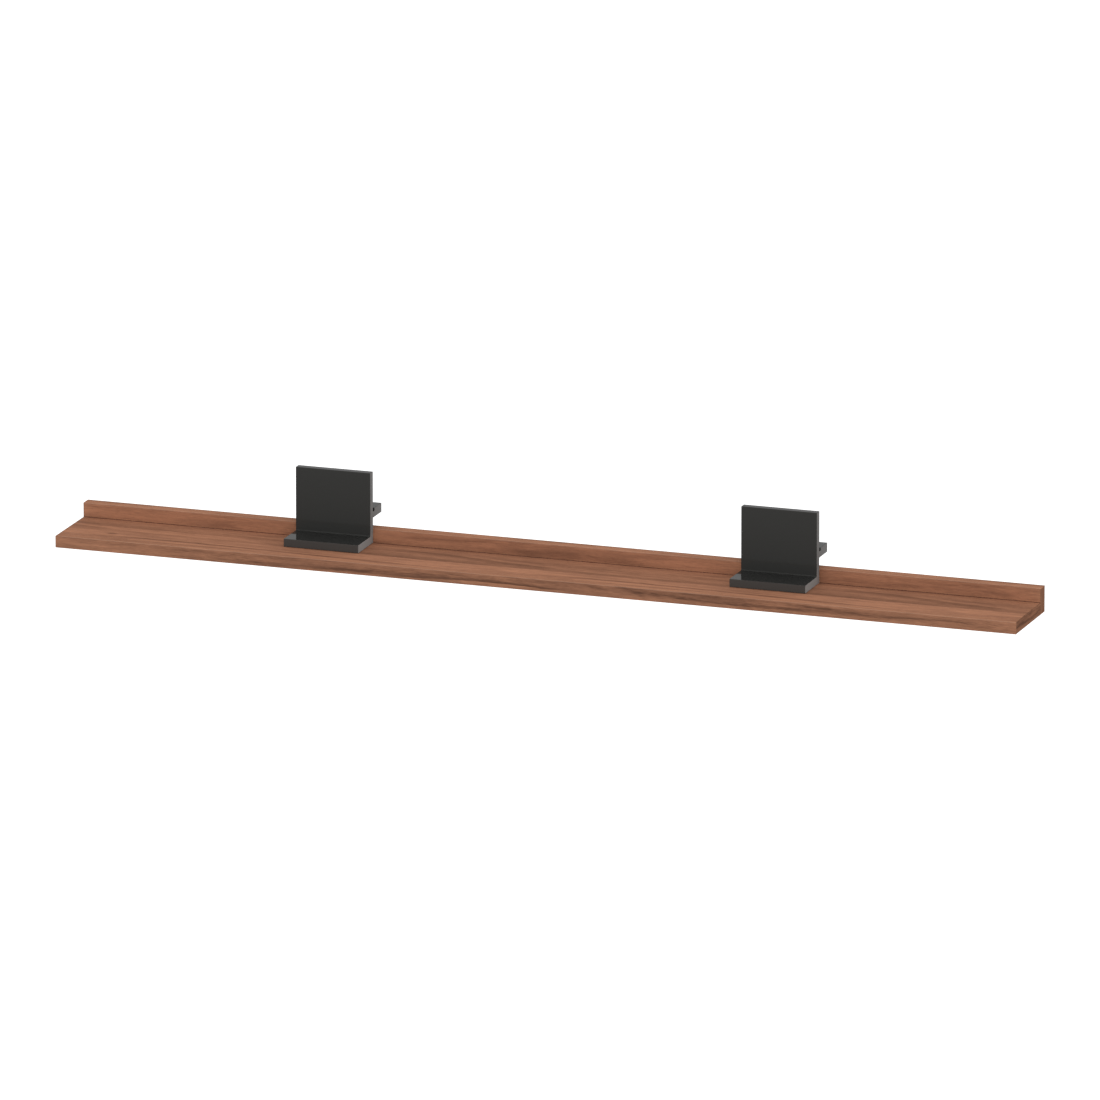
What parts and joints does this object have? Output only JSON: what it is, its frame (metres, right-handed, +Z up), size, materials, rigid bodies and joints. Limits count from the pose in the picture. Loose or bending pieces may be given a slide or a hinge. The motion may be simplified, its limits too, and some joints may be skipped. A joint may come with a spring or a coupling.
{
  "type": "wall shelf",
  "caption": "Long shallow wall shelf: a walnut decor board with a rear upstand, on dark L brackets with hook arms behind the upstand.",
  "frame": {"origin": "middle of the upstand's back face, which lies against the wall", "axes": "+X to the right along the shelf, +Y into the wall, +Z up"},
  "size_m": [1.5, 0.1547, 0.1275],
  "materials": {
    "walnut_decor": "satin walnut decor on chipboard",
    "walnut_edge_band": "1 mm plastic edge band with walnut decor",
    "bracket_metal": "extruded profile, anthracite powder coat, satin",
    "screw_steel": "blackened steel",
    "beech": "plain beech"
  },
  "bodies": {
    "root": {"shelf_board": "walnut_decor", "upstand": "walnut_decor", "front_edge_band": "walnut_edge_band", "board_left_end_band": "walnut_edge_band", "board_right_end_band": "walnut_edge_band", "upstand_top_band": "walnut_edge_band", "upstand_bottom_band": "walnut_edge_band", "upstand_left_end_band": "walnut_edge_band", "upstand_right_end_band": "walnut_edge_band", "left_bracket": "bracket_metal", "right_bracket": "bracket_metal", "left_bracket_screw_1": "screw_steel", "left_bracket_screw_2": "screw_steel", "left_bracket_screw_3": "screw_steel", "left_bracket_screw_4": "screw_steel", "right_bracket_screw_1": "screw_steel", "right_bracket_screw_2": "screw_steel", "right_bracket_screw_3": "screw_steel", "right_bracket_screw_4": "screw_steel", "joint_dowel_01": "beech", "joint_dowel_02": "beech", "joint_dowel_03": "beech", "joint_dowel_04": "beech", "joint_dowel_05": "beech", "joint_dowel_06": "beech", "joint_dowel_07": "beech", "joint_dowel_08": "beech", "joint_dowel_09": "beech", "joint_dowel_10": "beech", "joint_dowel_11": "beech"}
  },
  "joints": []
}
